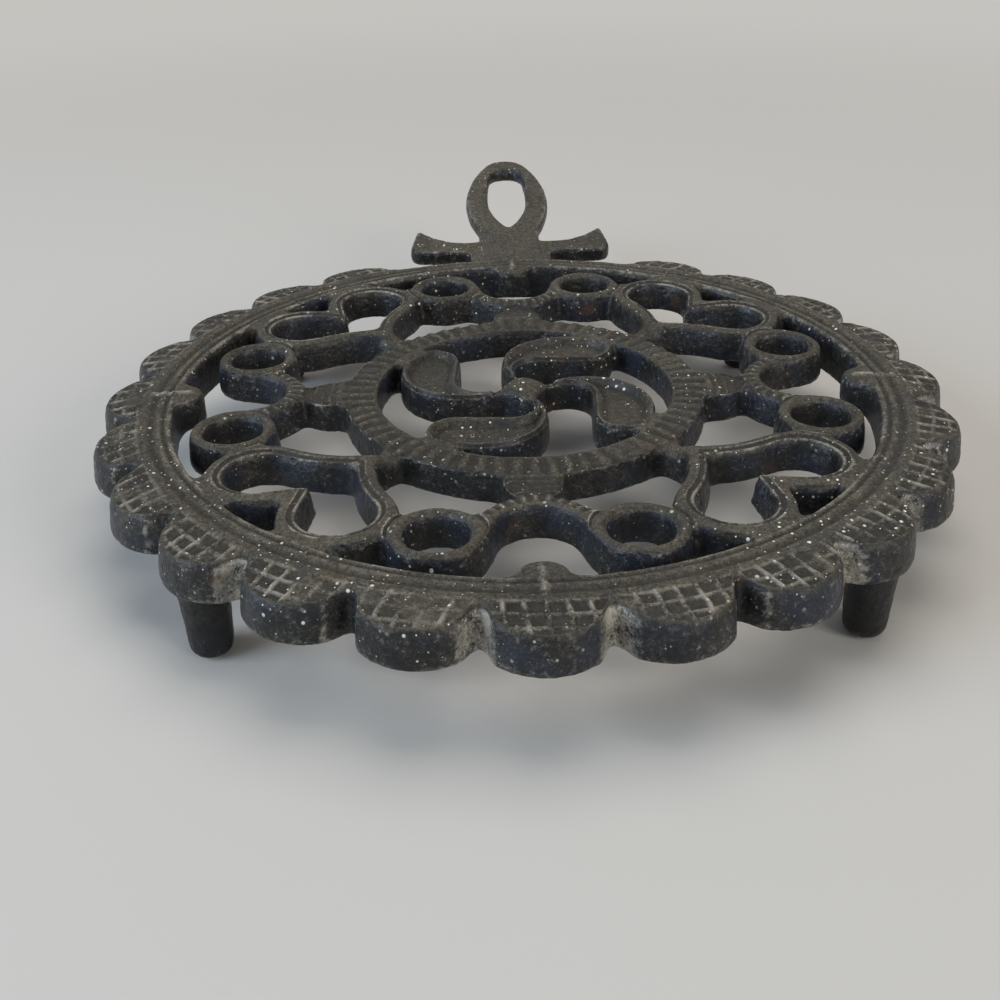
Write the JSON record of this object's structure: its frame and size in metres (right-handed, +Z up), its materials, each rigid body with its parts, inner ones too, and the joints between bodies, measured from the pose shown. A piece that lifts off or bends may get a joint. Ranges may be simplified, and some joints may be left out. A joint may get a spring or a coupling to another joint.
{
  "type": "trivet",
  "caption": "Round openwork cast iron trivet on peg feet, with a scalloped border, hearts, rings and a whirl, and a sloping handle with a hanging loop; holds a hot pot off the table.",
  "frame": {"origin": "on the table under the middle of the whole trivet's outline", "axes": "+Z up from the table, +Y along the handle towards its hanging loop, +X to the right as seen from the plate's side with the handle pointing away"},
  "size_m": [0.1694, 0.2189, 0.0322],
  "materials": {
    "black_iron": "dull black sand-cast iron, worn bright on its high edges and dusted in its hollows"
  },
  "bodies": {
    "root": {"rim_band": "black_iron", "hub_ring": "black_iron", "whirl_boss": "black_iron", "scallop_01": "black_iron", "scallop_02": "black_iron", "scallop_03": "black_iron", "scallop_04": "black_iron", "scallop_05": "black_iron", "scallop_06": "black_iron", "scallop_07": "black_iron", "scallop_08": "black_iron", "scallop_09": "black_iron", "scallop_10": "black_iron", "scallop_11": "black_iron", "scallop_12": "black_iron", "scallop_13": "black_iron", "scallop_14": "black_iron", "scallop_15": "black_iron", "scallop_16": "black_iron", "scallop_17": "black_iron", "scallop_18": "black_iron", "scallop_19": "black_iron", "scallop_20": "black_iron", "scallop_21": "black_iron", "heart_back_right": "black_iron", "foot_back_right": "black_iron", "heart_back_left": "black_iron", "foot_back_left": "black_iron", "heart_front_left": "black_iron", "foot_front_left": "black_iron", "heart_front_right": "black_iron", "foot_front_right": "black_iron", "arch_right": "black_iron", "eyelet_right_a": "black_iron", "eyelet_right_b": "black_iron", "whirl_leaf_right": "black_iron", "arch_back": "black_iron", "eyelet_back_a": "black_iron", "eyelet_back_b": "black_iron", "whirl_leaf_back": "black_iron", "arch_left": "black_iron", "eyelet_left_a": "black_iron", "eyelet_left_b": "black_iron", "whirl_leaf_left": "black_iron", "arch_front": "black_iron", "eyelet_front_a": "black_iron", "eyelet_front_b": "black_iron", "whirl_leaf_front": "black_iron", "handle_stem": "black_iron", "handle_wing_left": "black_iron", "handle_wing_right": "black_iron", "hanging_loop": "black_iron"}
  },
  "joints": []
}
